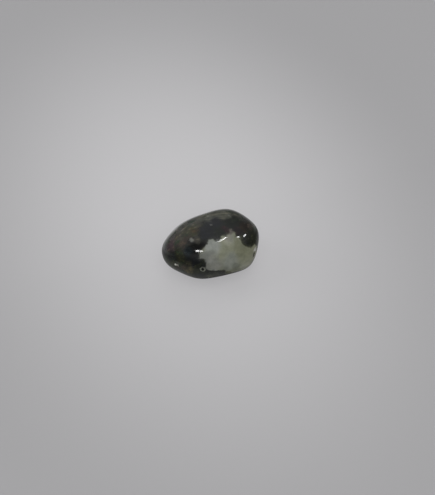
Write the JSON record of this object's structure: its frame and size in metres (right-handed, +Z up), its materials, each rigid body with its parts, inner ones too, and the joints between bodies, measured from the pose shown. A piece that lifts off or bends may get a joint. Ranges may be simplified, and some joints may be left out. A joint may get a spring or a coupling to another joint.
{
  "type": "jadeite pebble",
  "caption": "Polished jadeite pebble, dark green-black with a pale grey-green patch, lying on a small flat spot.",
  "frame": {"origin": "under the middle of the stone's box, on the surface that it lies on", "axes": "+X from the narrow nose to the blunt end, -Y towards the front with the pale patch, +Z up"},
  "size_m": [0.0254, 0.0194, 0.0161],
  "materials": {
    "polished_jadeite": "polished"
  },
  "bodies": {
    "root": {"jadeite_pebble": "polished_jadeite"}
  },
  "joints": []
}
